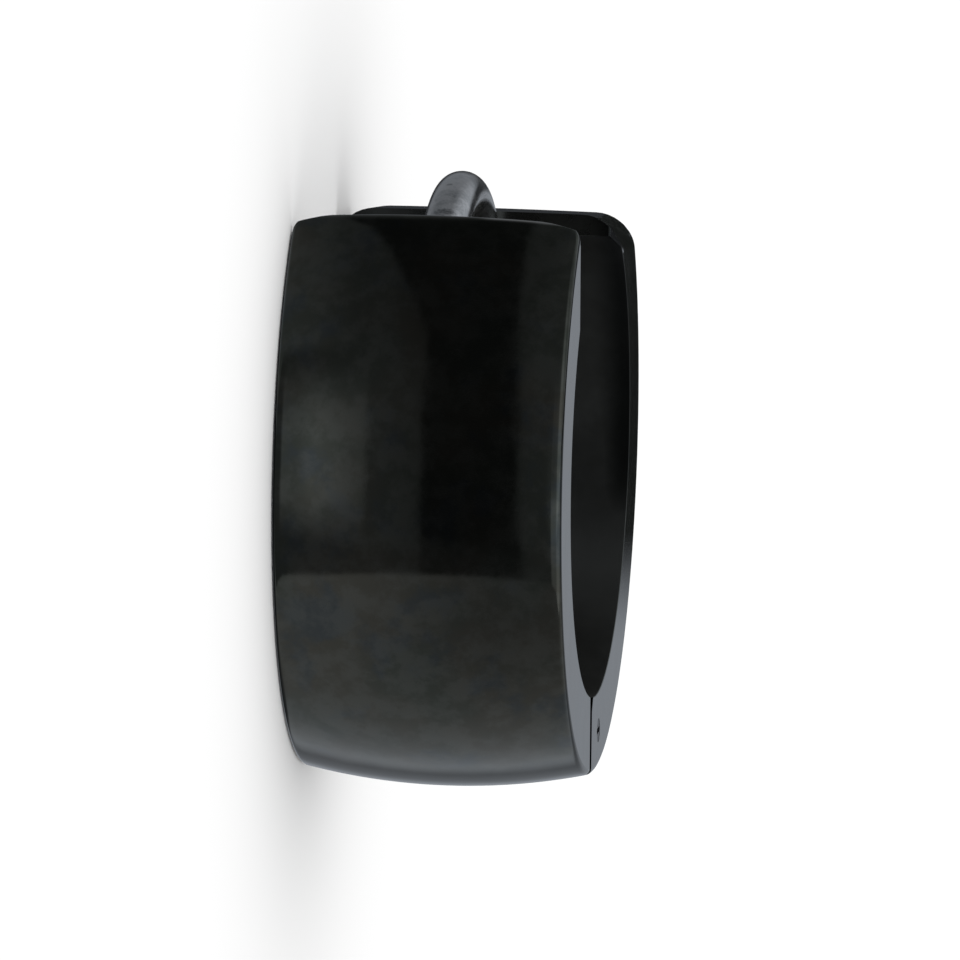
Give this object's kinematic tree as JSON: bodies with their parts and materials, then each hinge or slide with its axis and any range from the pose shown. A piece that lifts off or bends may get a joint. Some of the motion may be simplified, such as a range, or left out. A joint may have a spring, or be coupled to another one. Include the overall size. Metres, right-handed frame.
{
  "type": "hinged huggie earring",
  "caption": "Wide domed black metal hoop earring in two hinged halves, closed by a curved satin post and lying on its side.",
  "frame": {"origin": "centre of the bounding box at the surface that the hoop lies on", "axes": "+Z along the hoop's axis, up from the side face it lies on; -X towards the post, +X towards the hinge; -Y towards the front half, +Y towards the back half"},
  "size_m": [0.013, 0.014, 0.006],
  "materials": {
    "black_plate": "high gloss black plating over polished steel",
    "satin_steel": "satin",
    "dark_steel": "darkened, ground flush"
  },
  "bodies": {
    "front": {"front_half": "black_plate", "post": "satin_steel"},
    "back": {"back_half": "black_plate", "hinge_pin": "dark_steel"}
  },
  "joints": [
    {"name": "hinge", "type": "hinge", "parent": "front", "child": "back", "pos_m": [0.00539, 0, 0.003], "axis": [0, 0, -1], "range_deg": [0, 70]}
  ]
}
